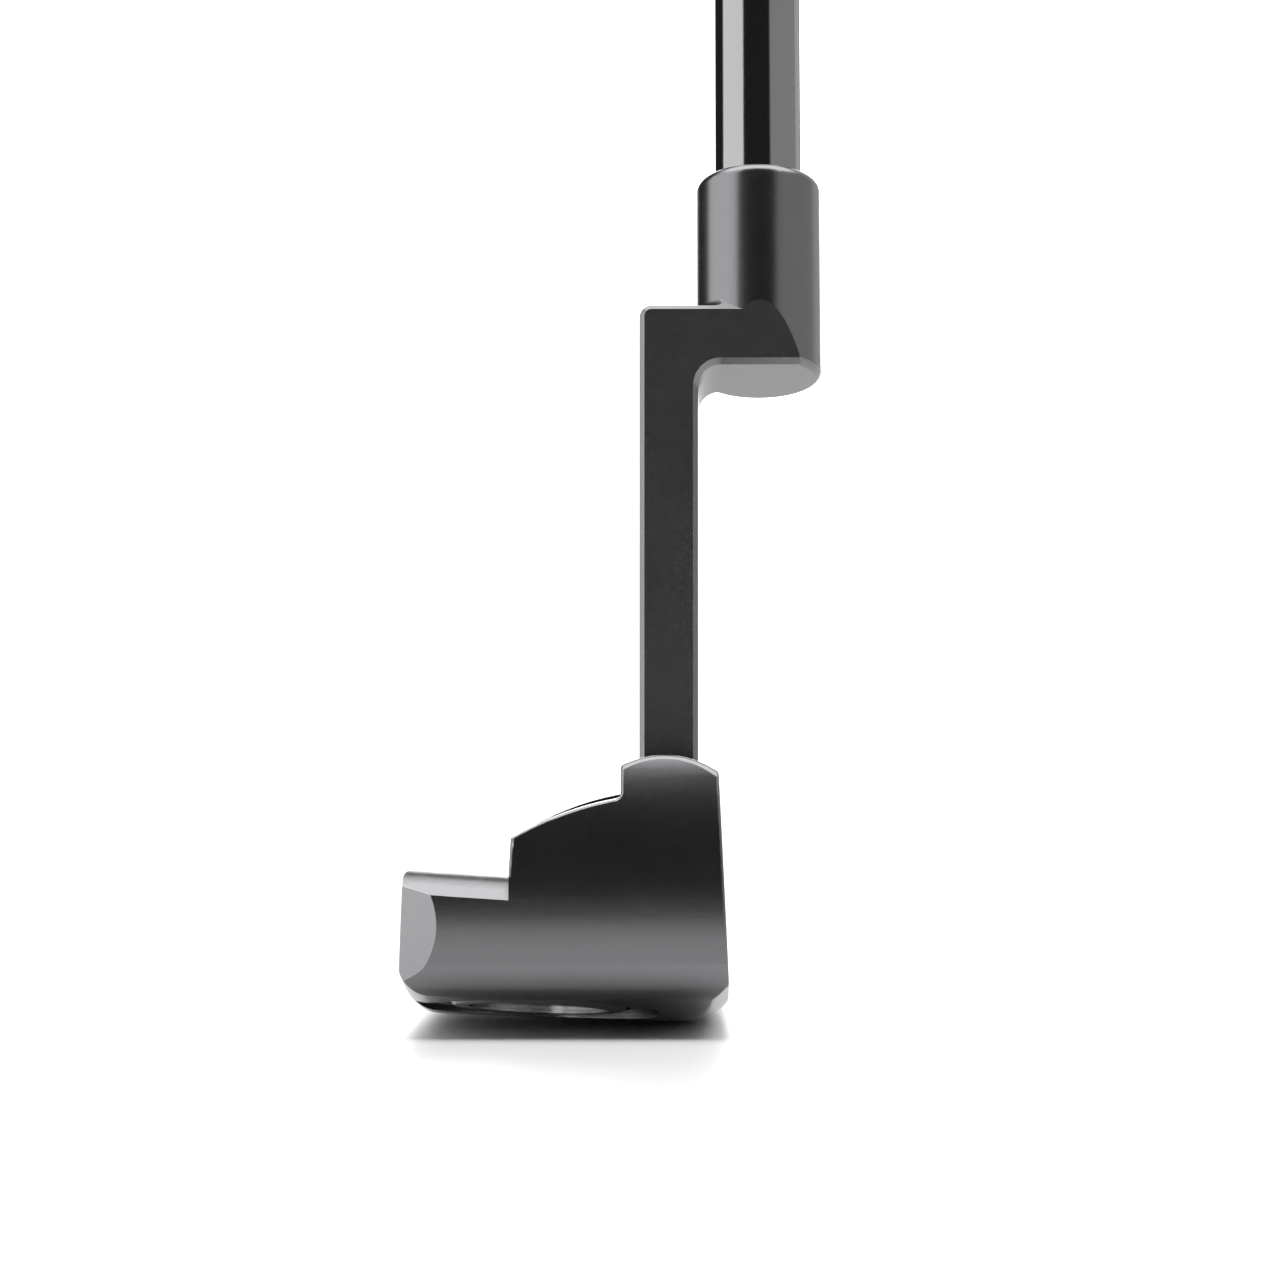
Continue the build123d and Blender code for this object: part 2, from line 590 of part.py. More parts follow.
def outline_edges(body, depth):
    """The neck's edges in a plane this far behind its toe side, without those on the round socket."""
    way = Vector(0, cos(radians(PLATE_LEAN)), -sin(radians(PLATE_LEAN)))
    start = Vector(0, near_plane_y(0), 0)
    found = []
    for edge in body.edges():
        points = [edge @ 0, edge @ 0.5, edge @ 1]
        flat = all(abs((point - start).dot(way) - depth) < NEAR for point in points)
        on_socket = all(abs(off_axis(point) - HOSEL_DIAMETER / 2) < NEAR for point in points)
        if flat and not on_socket and points[1].Z > TOPLINE_HEIGHT - BLANK / 2:
            found.append(edge)
    return found


def socket_edges(body, height):
    """The round edges where the socket meets a plane square to the shaft."""
    found = []
    for edge in body.edges():
        points = [edge @ 0, edge @ 0.5, edge @ 1]
        level = all(abs((point - HOSEL_BOTTOM).dot(SHAFT_WAY) - height) < NEAR for point in points)
        if level and all(abs(off_axis(point) - HOSEL_DIAMETER / 2) < NEAR for point in points):
            found.append(edge)
    return found


def neck():
    """Plate, bridge and hosel in one piece, milled flat on its toe side and seated on the crown."""
    bar = plate_and_bridge()
    bar = chamfer(outline_edges(bar, PLATE_DEPTH), PLATE_BEVEL)
    body = bar + hosel()
    body -= leaning_slab(-BLANK, 0)
    body = chamfer(outline_edges(body, 0), PLATE_BEVEL)
    body = fillet(socket_edges(body, BRIDGE_THICKNESS), BRIDGE_SOCKET_FILLET)
    body = fillet(socket_edges(body, 0), HOSEL_BOTTOM_RADIUS)
    body -= extrude(toe_view(), HEAD_LENGTH, both=True)
    below = Pos(0, 0, TOPLINE_HEIGHT - CROWN_FRONT_DROP * 2 - BLANK) * Box(BLANK * 4, BLANK * 4, BLANK * 2)
    body -= below
    body += spigot(0)
    body -= HOSEL_PLANE * disc(SHAFT_TIP_DIAMETER / 2 + EPOXY_FILM, BORE_FLOOR, HOSEL_LENGTH * 2)
    return body


def braze():
    """The film of braze between the spigot and the head."""
    return (spigot(BRAZE_FILM) - spigot(0)) & extrude(toe_view(), HEAD_LENGTH, both=True)


# ================================================================ shaft
def shaft_profile(scale_in):
    """Points up the shaft: (radius, height); scale_in is 0 for the outside and 1 for the bore."""
    points = []
    for step in range(SHAFT_STEPS + 1):
        share = step / SHAFT_STEPS
        wall = SHAFT_TIP_WALL + share * (SHAFT_BUTT_WALL - SHAFT_TIP_WALL)
        diameter = SHAFT_TIP_DIAMETER + share * (SHAFT_BUTT_DIAMETER - SHAFT_TIP_DIAMETER)
        radius = diameter / 2 - scale_in * wall
        low = SHAFT_START if step == 0 else SHAFT_TIP_END + (step - 1) * SHAFT_STEP_LENGTH + SHAFT_STEP_RUN
        high = SHAFT_END if step == SHAFT_STEPS else SHAFT_TIP_END + step * SHAFT_STEP_LENGTH
        points += [(radius, low), (radius, high)]
    return points


def shaft():
    """A stepped tube: parallel tip, short flared steps, parallel butt."""
    outline = shaft_profile(0) + shaft_profile(1)[::-1]
    return HOSEL_PLANE * revolve(Plane.XZ * make_face(Polyline(*outline, close=True)), Axis.Z, 360)


def sleeve(inner, outer, low, high):
    """A ring round the shaft's axis between two heights."""
    return HOSEL_PLANE * (disc(outer, low, high) - disc(inner, low - OVERRUN, high + OVERRUN))


def shaft_epoxy():
    """Adhesive round the shaft's tip and under its end."""
    tip = SHAFT_TIP_DIAMETER / 2
    film = disc(tip + EPOXY_FILM, BORE_FLOOR, HOSEL_LENGTH - HOSEL_TOP_RADIUS)
    film -= disc(tip, SHAFT_START, HOSEL_LENGTH)
    return HOSEL_PLANE * film


def shaft_band():
    """A plain printed band below the grip."""
    radius = SHAFT_BUTT_DIAMETER / 2
    return sleeve(radius, radius + BAND_THICKNESS, BAND_START, BAND_START + BAND_LENGTH)


# ================================================================ grip
def grip_section(share, width, front, back):
    """A rounded section with a flat front, on the shaft's axis; the flat faces away from the player."""
    half = width / 2
    flat = half * GRIP_FLAT_SHARE * min(1.0, share * GRIP_FLAT_GROWTH + GRIP_MOUTH_FLAT)
    side_y = (back - front) / 4
    right = [
        (flat, -front),
        (half * GRIP_SHOULDER[0], front * GRIP_SHOULDER[1]),
        (half, side_y),
        (half * GRIP_HAUNCH[0], back * GRIP_HAUNCH[1]),
        (half * GRIP_SPINE[0], back * GRIP_SPINE[1]),
    ]
    left = [(-x, y) for x, y in reversed(right)]
    place = HOSEL_PLANE * Plane(origin=(0, 0, GRIP_START + share * GRIP_LENGTH))
    return place * make_face(Spline((0, -front), *right, (0, back), *left, periodic=True))


def grip_blank():
    """The whole pistol shape, cap included."""
    return loft([grip_section(*row) for row in GRIP_SECTIONS])


def cap_split():
    """Everything above the joint between the grip and its cap."""
    return HOSEL_PLANE * disc(BLANK, SHAFT_END, SHAFT_END + BLANK)


def tape_radius():
    """The outside of the tape."""
    return SHAFT_BUTT_DIAMETER / 2 + TAPE_THICKNESS


def grip():
    """Rubber sleeve with a flat front, open at its mouth."""
    body = grip_blank() - cap_split()
    body -= HOSEL_PLANE * disc(tape_radius(), GRIP_START - OVERRUN, SHAFT_END + OVERRUN)
    return body


def grip_tape():
    """Double-sided tape between the shaft and the grip."""
    return sleeve(SHAFT_BUTT_DIAMETER / 2, tape_radius(), GRIP_START + TAPE_END_MARGIN, SHAFT_END)


def grip_cap():
    """End cap with a stem in the shaft's butt and a vent hole."""
    butt_bore = SHAFT_BUTT_DIAMETER / 2 - SHAFT_BUTT_WALL - CAP_STEM_CLEARANCE
    body = grip_blank() & cap_split()
    body += HOSEL_PLANE * disc(butt_bore, SHAFT_END - CAP_STEM_LENGTH, SHAFT_END + CAP_THICKNESS / 2)
    body -= HOSEL_PLANE * disc(VENT_DIAMETER / 2, SHAFT_END - CAP_STEM_LENGTH - OVERRUN, GRIP_END + OVERRUN)
    return body


# ================================================================ assembly
def parts():
    """Every node of the putter, by name."""
    sides = {"toe": -1, "heel": 1}
    made = {
        "head_body": head(),
        "plumber_neck": neck(),
        "neck_braze": braze(),
        "sight_line_paint": sight_line(SIGHT_LINE_DEPTH, PAINT_RECESS),
        "weight_o_rings": Compound(children=[weight_plane(side) * o_ring() for side in sides.values()]),
        "weight_marks": Compound(
            children=[weight_plane(side) * weight_marks(MARK_DEPTH, PAINT_RECESS) for side in sides.values()]
        ),
        "shaft": shaft(),
        "shaft_epoxy": shaft_epoxy(),
        "shaft_band": shaft_band(),
        "grip": grip(),
        "grip_tape": grip_tape(),
        "grip_cap": grip_cap(),
    }
    for name, side in sides.items():
        made[name + "_weight"] = weight_plane(side) * weight()
    return made


if __name__ == "__main__":
    os.makedirs("parts", exist_ok=True)
    for name, shape in parts().items():
        export_step(shape, "parts/" + name + ".step")
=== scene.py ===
"""Looks of a blade putter with a long plumber's neck, as a Blender add-on.

Finishes go on the fixed parts of the frame, the grip gets its moulded pattern, and a plain studio is set
round the club. Metres; the head lies along Y with its toe at -Y, the face looks to +X and Z is up.
"""

import json
import math

import bpy
from bpy.props import FloatProperty, FloatVectorProperty, IntProperty, PointerProperty
from mathutils import Matrix, Vector


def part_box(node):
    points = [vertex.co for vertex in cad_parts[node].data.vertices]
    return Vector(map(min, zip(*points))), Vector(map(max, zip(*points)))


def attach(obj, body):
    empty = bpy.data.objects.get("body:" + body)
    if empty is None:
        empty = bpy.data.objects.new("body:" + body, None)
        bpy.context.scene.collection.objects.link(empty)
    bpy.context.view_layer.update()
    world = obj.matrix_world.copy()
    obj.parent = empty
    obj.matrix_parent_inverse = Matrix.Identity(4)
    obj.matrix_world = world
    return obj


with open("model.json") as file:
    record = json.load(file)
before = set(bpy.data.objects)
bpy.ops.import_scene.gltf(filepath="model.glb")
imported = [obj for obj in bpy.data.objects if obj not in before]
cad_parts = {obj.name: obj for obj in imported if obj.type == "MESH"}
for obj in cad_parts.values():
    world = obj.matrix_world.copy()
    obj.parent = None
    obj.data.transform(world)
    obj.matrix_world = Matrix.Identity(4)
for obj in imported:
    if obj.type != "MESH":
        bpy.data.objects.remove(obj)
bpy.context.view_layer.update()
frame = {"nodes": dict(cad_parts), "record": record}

bl_info = {
    "name": "Putter looks",
    "version": (1, 0, 0),
    "blender": (4, 5, 0),
    "location": "View3D > Sidebar > Putter",
    "description": "Finishes, grip pattern and studio for a blade putter",
    "category": "Object",
}

PANEL_TAB = "Putter"
BODY = "root"

FACE_X = 0.0044  # the whole lofted face lies in front of this
TOPLINE_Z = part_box("head_body")[1][2]
MOUNTS = {mount["name"]: mount for mount in frame["record"]["mounts"]}
HOLD = Vector(MOUNTS["grip_hold"]["pos_m"])
SHAFT_WAY = Vector(MOUNTS["grip_hold"]["axis"])

# The patches, grain and drag of the finishes, as sizes across, with how each is drawn out and how deep its
# bump is.
STEEL_PATCH = 0.012
STEEL_DRAG = 0.0006
STEEL_DRAG_STRETCH = (1.0, 0.08, 1.0)
STEEL_DRAG_DEPTH = 0.000003
BLAST_DEPTH = 0.0000025
MILLING_DEPTH = 0.00002
EDGE_WEAR_AND_HIGHLIGHT_PATCH = 0.003
TURNED_PATCH = 0.006
TURNING_STRETCH = (1.0, 1.0, 0.2)
TURNING_DEPTH = 0.000004
CHROME_PATCH = 0.02
POLISH_WIDTH = 0.0005
POLISH_STRETCH = (1.0, 1.0, 0.12)
POLISH_DEPTH = 0.0000015
PAINT_PATCH = 0.001
PAINT_DEPTH = 0.00001
RUBBER_PATCH = 0.01
RUBBER_DEPTH = 0.00004
FILM_PATCH = 0.002
FILM_DEPTH = 0.00002
FLOOR_PATCH = 0.3
MILLING_FADE = 0.0002  # over which the milling stops at the edges of the face
MILLED_FACING = (0.97, 0.99)  # how far forward a surface looks where the milling starts, and is full
EDGE_WEAR_AND_HIGHLIGHT_RANGE = (0.35, 0.65)  # of the noise, from faint to full lightening of the edges (wear and a painted edge highlight)

# The rubber skin's grain on the grip, its pips, its cap and the rings.
GRIP_GRAIN = 0.0004
PIP_GRAIN = 0.0006
CAP_GRAIN = 0.0008

# The finishes that no control changes.
BRAZE = (0.55, 0.45, 0.25)
RING_RUBBER = (0.02, 0.02, 0.02)
EPOXY = (0.65, 0.6, 0.45)
TAPE = (0.75, 0.7, 0.6)

PIP_SEGMENTS = 8
PIP_RINGS = 4
FLAT_FRONT = -0.97  # a normal beyond this belongs to the grip's flat front

# Where each light lies, in degrees: from, to, and how soft its edges are.
BOX_HEIGHT = (-8.0, 66.0, 8.0)
BACK_SPREAD = (-112.0, -46.0, 5.0)
FACE_SPREAD = (38.0, 122.0, 8.0)
STRIP_SPREAD = (122.0, 152.0, 6.0)
CARD_SPREAD = (-39.0, -24.0, 5.0)
CARD_HEIGHT = (-9.0, 9.0, 5.0)
# Single edges, in degrees: where, and how soft.
BACKDROP_SIDE = (20.0, 6.0)
BACKDROP_TOP = (30.0, 12.0)
OVERHEAD_TOE_END = (72.0, 12.0)
OVERHEAD_HEEL_END = (126.0, 44.0)
OVERHEAD_LOWEST = (46.0, 14.0)

FLOOR_WIDTH = 60.0
SENSOR_WIDTH = 36.0  # millimetres
NEAREST_SEEN = 0.01


def colour(name, text, default):
    """A colour property."""
    return FloatVectorProperty(
        name=name, description=text, default=default, size=3, min=0.0, max=1.0, subtype="COLOR"
    )


def share(name, text, default):
    """A property that runs from 0 to 1."""
    return FloatProperty(name=name, description=text, default=default, min=0.0, max=1.0, subtype="FACTOR")


def length(name, text, default):
    """A size in metres."""
    return FloatProperty(
        name=name, description=text, default=default, min=0.0, precision=5, subtype="DISTANCE", unit="LENGTH"
    )


def number(name, text, default, low=0.0):
    """A plain number with a lowest value."""
    return FloatProperty(name=name, description=text, default=default, min=low)


def turn(name, text, degrees):
    """An angle, given in degrees."""
    return FloatProperty(
        name=name, description=text, default=math.radians(degrees), precision=5, unit="ROTATION"
    )


# ---------------------------------------------------------------- what a user may change
class SteelLooks(bpy.types.PropertyGroup):
    """Black finish on the milled head and neck."""

    tint: colour("Tint", "What the black finish reflects", (0.215, 0.215, 0.222))
    # Lighter colour along the edges: partly wear down to bare steel, partly a painted edge highlight.
    worn_and_highlight_tint: colour("Worn tint", "What shows where an edge is rubbed", (0.42, 0.42, 0.43))
    roughness: share("Roughness", "Softness of the reflections", 0.25)
    milling_pitch: length("Milling pitch", "Distance between the cutter's arcs on the face", 0.00055)
    milling_radius: length("Milling radius", "Radius of the cutter's arcs on the face", 0.038)
    blast_grain: length("Blast grain", "Size of the bead-blasted grain", 0.00022)
    # The lighter edge line is wear and a painted edge highlight.
    edge_width: length("Edge width", "Width of the rubbed line along the edges", 0.00018)


class WeightLooks(bpy.types.PropertyGroup):
    """Turned sole weights and what is engraved in them."""

    tint: colour("Tint", "What the turned steel reflects", (0.44, 0.44, 0.45))
    roughness: share("Roughness", "Softness of the reflections", 0.22)
    turning_pitch: length("Turning pitch", "Distance between the lathe's rings", 0.00018)
    paint: colour("Paint", "Paint in the engraved marks and in the line", (0.82, 0.82, 0.8))


class ShaftLooks(bpy.types.PropertyGroup):
    """Black chrome on the stepped shaft."""

    tint: colour("Tint", "What the black chrome reflects", (0.33, 0.33, 0.335))
    roughness: share("Roughness", "Softness of the reflections", 0.09)
    band: colour("Band", "Printed band below the grip", (0.25, 0.25, 0.26))


class GripLooks(bpy.types.PropertyGroup):
    """Moulded rubber grip and its cap."""

    rubber: colour("Rubber", "Colour of the grip", (0.018, 0.018, 0.019))
    cap: colour("Cap", "Colour of the cap", (0.014, 0.014, 0.015))
    roughness: share("Roughness", "Softness of the shine", 0.55)
    mouth_margin: length("Mouth margin", "Plain rubber between the mouth and the first row", 0.012)
    cap_margin: length("Cap margin", "Plain rubber between the last row and the cap", 0.042)
    row_pitch: length("Row pitch", "Distance between rows of pips, along the grip", 0.0032)
    around: IntProperty(name="Pips around", description="Pips in each row", default=20, min=3)
    pip_width: length("Pip width", "Width of each moulded pip", 0.0015)
    pip_height: length("Pip height", "How far a pip stands proud", 0.00028)
    bar_stretch: number("Bar stretch", "How far the pips on the flat front are drawn out crosswise", 2.0, 1.0)


class StageLooks(bpy.types.PropertyGroup):
    """Floor, lights and camera."""

    floor: colour("Floor", "Colour of the floor", (0.84, 0.84, 0.84))
    lens: number("Lens", "Focal length in millimetres", 180.8, 10.0)
    camera_distance: length("Camera distance", "From the origin, along the head", 0.6575)
    camera_height: length("Camera height", "Above the floor", 0.0264)
    camera_side: FloatProperty(
        name="Camera side", description="Towards the face", default=-0.00093, precision=5, unit="LENGTH"
    )
    camera_pitch: turn("Camera pitch", "Upward tilt", 1.043)
    camera_yaw: turn("Camera yaw", "Turn away from the face", 0.178)
    back_box: number("Back softbox", "Brightness behind the head", 1.6)
    face_box: number("Face softbox", "Brightness in front of the face", 0.54)
    strip: number("Strip", "Brightness of the narrow strip", 0.75)
    top: number("Top softbox", "Brightness overhead", 3.0)
    backdrop: number("Backdrop", "Brightness beyond the heel", 3.0)
    card: number("Low card", "Brightness of the low white card", 4.4)
    room: number("Room", "Brightness between the lights", 0.03)


GROUPS = {
    "putter_steel": SteelLooks,
    "putter_weights": WeightLooks,
    "putter_shaft": ShaftLooks,
    "putter_grip": GripLooks,
    "putter_stage": StageLooks,
}


# ---------------------------------------------------------------- node helpers
class Graph:
    """Adds and links nodes by short calls."""

    def __init__(self, tree):
        self.tree = tree

    def add(self, kind, inputs=None, **settings):
        """A node with its settings and inputs; an input may be a value or another node's socket."""
        node = self.tree.nodes.new(kind)
        for key, value in settings.items():
            setattr(node, key, value)
        for key, value in (inputs or {}).items():
            self.plug(value, node.inputs[key])
        return node

    def plug(self, value, socket):
        """Links a socket, or sets the socket's own value."""
        if isinstance(value, bpy.types.NodeSocket):
            self.tree.links.new(value, socket)
        elif socket.type == "RGBA" and len(value) == 3:
            socket.default_value = (*value, 1.0)
        else:
            socket.default_value = value

    def sums(self, operation, first, second=0.0):
        """One step of arithmetic."""
        return self.add("ShaderNodeMath", {0: first, 1: second}, operation=operation).outputs["Value"]


class Nodes(Graph):
    """A material's nodes, round its shader."""

    def __init__(self, name):
        self.material = bpy.data.materials.new(name)
        self.material.use_nodes = True
        super().__init__(self.material.node_tree)
        self.shader = self.tree.nodes["Principled BSDF"]
        self.place = self.add("ShaderNodeTexCoord").outputs["Object"]

    def noise(self, size, detail, where=None):
        """Noise whose features are about this size, in metres."""
        inputs = {"Vector": where or self.place, "Scale": 1.0 / size, "Detail": detail, "Roughness": 0.55}
        return self.add("ShaderNodeTexNoise", inputs).outputs["Fac"]

    def stretched(self, scale):
        """Object coordinates scaled by axis, for grain that runs one way."""
        node = self.add("ShaderNodeMapping", {"Vector": self.place, "Scale": scale})
        return node.outputs["Vector"]

    def span(self, value, low, high, start=0.0, end=1.0):
        """The value carried from one range to another."""
        ends = {"Value": value, "From Min": start, "From Max": end, "To Min": low, "To Max": high}
        return self.add("ShaderNodeMapRange", ends).outputs["Result"]

    def blend(self, amount, first, second):
        """A colour between two colours."""
        node = self.add("ShaderNodeMix", data_type="RGBA")
        self.plug(amount, node.inputs[0])
        self.plug(first, node.inputs[6])
        self.plug(second, node.inputs[7])
        return node.outputs[2]

    def bump(self, height, distance, below=None):
        """A normal raised by a height, over another bump if one is given."""
        node = self.add("ShaderNodeBump", {"Height": height, "Distance": distance, "Strength": 1.0})
        if below:
            self.plug(below, node.inputs["Normal"])
        return node.outputs["Normal"]

    def edges(self, width):
        """1 within this distance of an edge, 0 on the open surface."""
        bevel = self.add("ShaderNodeBevel", {"Radius": width}, samples=8)
        geometry = self.add("ShaderNodeNewGeometry")
        dot = self.add("ShaderNodeVectorMath", operation="DOT_PRODUCT")
        self.plug(bevel.outputs["Normal"], dot.inputs[0])
        self.plug(geometry.outputs["Normal"], dot.inputs[1])
        return self.span(dot.outputs["Value"], 1.0, 0.0, 0.9, 0.995)

    def set(self, **sockets):
        """Plugs values or links into the shader, with _ for a space."""
        for key, value in sockets.items():
            self.plug(value, self.shader.inputs[key.replace("_", " ")])
        return self.material


# ---------------------------------------------------------------- finishes
def face_milling(n, looks):
    """Height of the cutter's arcs, on the face alone: rings about a point above its middle."""
    parts = n.add("ShaderNodeSeparateXYZ", {0: n.place}).outputs
    up = n.sums("SUBTRACT", parts["Z"], looks.milling_radius)
    reach = n.sums("SQRT", n.sums("ADD", n.sums("POWER", parts["Y"], 2.0), n.sums("POWER", up, 2.0)))
    wave = n.sums("SINE", n.sums("MULTIPLY", reach, 2 * math.pi / looks.milling_pitch))
    normal = n.add("ShaderNodeNewGeometry").outputs["True Normal"]
    facing = n.add("ShaderNodeSeparateXYZ", {0: normal}).outputs["X"]
    in_front = n.span(parts["X"], 0.0, 1.0, FACE_X, FACE_X + MILLING_FADE)
    forward = n.sums("MULTIPLY", n.span(facing, 0.0, 1.0, *MILLED_FACING), in_front)
    below_crown = n.span(parts["Z"], 1.0, 0.0, TOPLINE_Z, TOPLINE_Z + MILLING_FADE)
    return n.sums("MULTIPLY", wave, n.sums("MULTIPLY", forward, below_crown))


def black_steel(name, looks):
    """Black finish over bead-blasted, milled steel, lighter along its edges from wear and a painted edge
    highlight.
    """
    n = Nodes(name)
    cloud = n.noise(STEEL_PATCH, 3.0)
    grain = n.noise(looks.blast_grain, 2.0)
    drag = n.noise(STEEL_DRAG, 2.0, n.stretched(STEEL_DRAG_STRETCH))
    # Painted edge highlight together with edge wear: the base colour is made lighter along the edges, in
    # noisy patches.
    rubbed_and_highlit = n.span(n.noise(EDGE_WEAR_AND_HIGHLIGHT_PATCH, 3.0), 0.25, 1.0, *EDGE_WEAR_AND_HIGHLIGHT_RANGE)
    worn_and_highlit = n.sums("MULTIPLY", n.edges(looks.edge_width), rubbed_and_highlit)
    tint = Vector(looks.tint)
    base = n.blend(cloud, tuple(tint * 0.93), tuple(tint * 1.07))
    smooth = n.span(cloud, looks.roughness - 0.03, looks.roughness + 0.03)
    blasted = n.bump(grain, BLAST_DEPTH)
    dragged = n.bump(drag, STEEL_DRAG_DEPTH, blasted)
    return n.set(
        Base_Color=n.blend(worn_and_highlit, base, tuple(looks.worn_and_highlight_tint)),
        Metallic=1.0,
        Roughness=n.sums("ADD", smooth, n.span(drag, -0.02, 0.02)),
        Normal=n.bump(face_milling(n, looks), MILLING_DEPTH, dragged),
    )


def turned_steel(name, looks):
    """Lathe-turned steel under a black finish."""
    n = Nodes(name)
    cloud = n.noise(TURNED_PATCH, 3.0)
    rings = n.noise(looks.turning_pitch, 1.0, n.stretched(TURNING_STRETCH))
    tint = Vector(looks.tint)
    return n.set(
        Base_Color=n.blend(cloud, tuple(tint * 0.9), tuple(tint * 1.1)),
        Metallic=1.0,
        Roughness=n.span(cloud, looks.roughness - 0.04, looks.roughness + 0.04),
        Normal=n.bump(rings, TURNING_DEPTH),
    )


def black_chrome(name, looks):
    """Polished black chrome with faint polishing lines and fine handling marks."""
    n = Nodes(name)
    cloud = n.noise(CHROME_PATCH, 3.0)
    polish = n.noise(POLISH_WIDTH, 3.0, n.stretched(POLISH_STRETCH))
    tint = Vector(looks.tint)
    smooth = n.span(cloud, looks.roughness - 0.02, looks.roughness + 0.02)
    return n.set(
        Base_Color=n.blend(cloud, tuple(tint * 0.96), tuple(tint * 1.04)),
        Metallic=1.0,
        Roughness=n.sums("ADD", smooth, n.span(polish, -0.02, 0.02)),
        Normal=n.bump(polish, POLISH_DEPTH),
    )


def paint(name, tint):
    """Glossy paint fill, a little uneven."""
    n = Nodes(name)
    cloud = n.noise(PAINT_PATCH, 3.0)
    tint = Vector(tint)
    return n.set(
        Base_Color=n.blend(cloud, tuple(tint * 0.92), tuple(tint)),
        Roughness=n.span(cloud, 0.3, 0.42),
        Normal=n.bump(cloud, PAINT_DEPTH),
    )


def rubber(name, tint, roughness, grain=GRIP_GRAIN):
    """Moulded rubber with a fine skin."""
    n = Nodes(name)
    cloud = n.noise(RUBBER_PATCH, 3.0)
    skin = n.noise(grain, 3.0)
    tint = Vector(tint)
    return n.set(
        Base_Color=n.blend(cloud, tuple(tint * 0.85), tuple(tint * 1.2)),
        Roughness=n.span(cloud, roughness - 0.06, roughness + 0.06),
        Normal=n.bump(skin, RUBBER_DEPTH),
    )


def film(name, tint, roughness, metallic=0.0):
    """A thin coat or film: braze, adhesive, tape or the printed band."""
    n = Nodes(name)
    cloud = n.noise(FILM_PATCH, 4.0)
    tint = Vector(tint)
    return n.set(
        Base_Color=n.blend(cloud, tuple(tint * 0.85), tuple(tint)),
        Metallic=metallic,
        Roughness=n.span(cloud, roughness - 0.05, roughness + 0.05),
        Normal=n.bump(cloud, FILM_DEPTH),
    )


def dress(node, material):
    """Puts a finish on a part of the frame."""
    part = frame["nodes"][node]
    part.data.materials.clear()
    part.data.materials.append(material)


# ---------------------------------------------------------------- grip pattern
class Tree(Graph):
    """A geometry tree with named inputs."""

    def __init__(self, name):
        super().__init__(bpy.data.node_groups.new(name, "GeometryNodeTree"))
        self.identifiers = {}
        self.size("Geometry", "NodeSocketGeometry")
        self.tree.interface.new_socket("Geometry", in_out="OUTPUT", socket_type="NodeSocketGeometry")

    def size(self, name, kind="NodeSocketFloat"):
        """A named input of the tree."""
        socket = self.tree.interface.new_socket(name, in_out="INPUT", socket_type=kind)
        self.identifiers[name] = socket.identifier


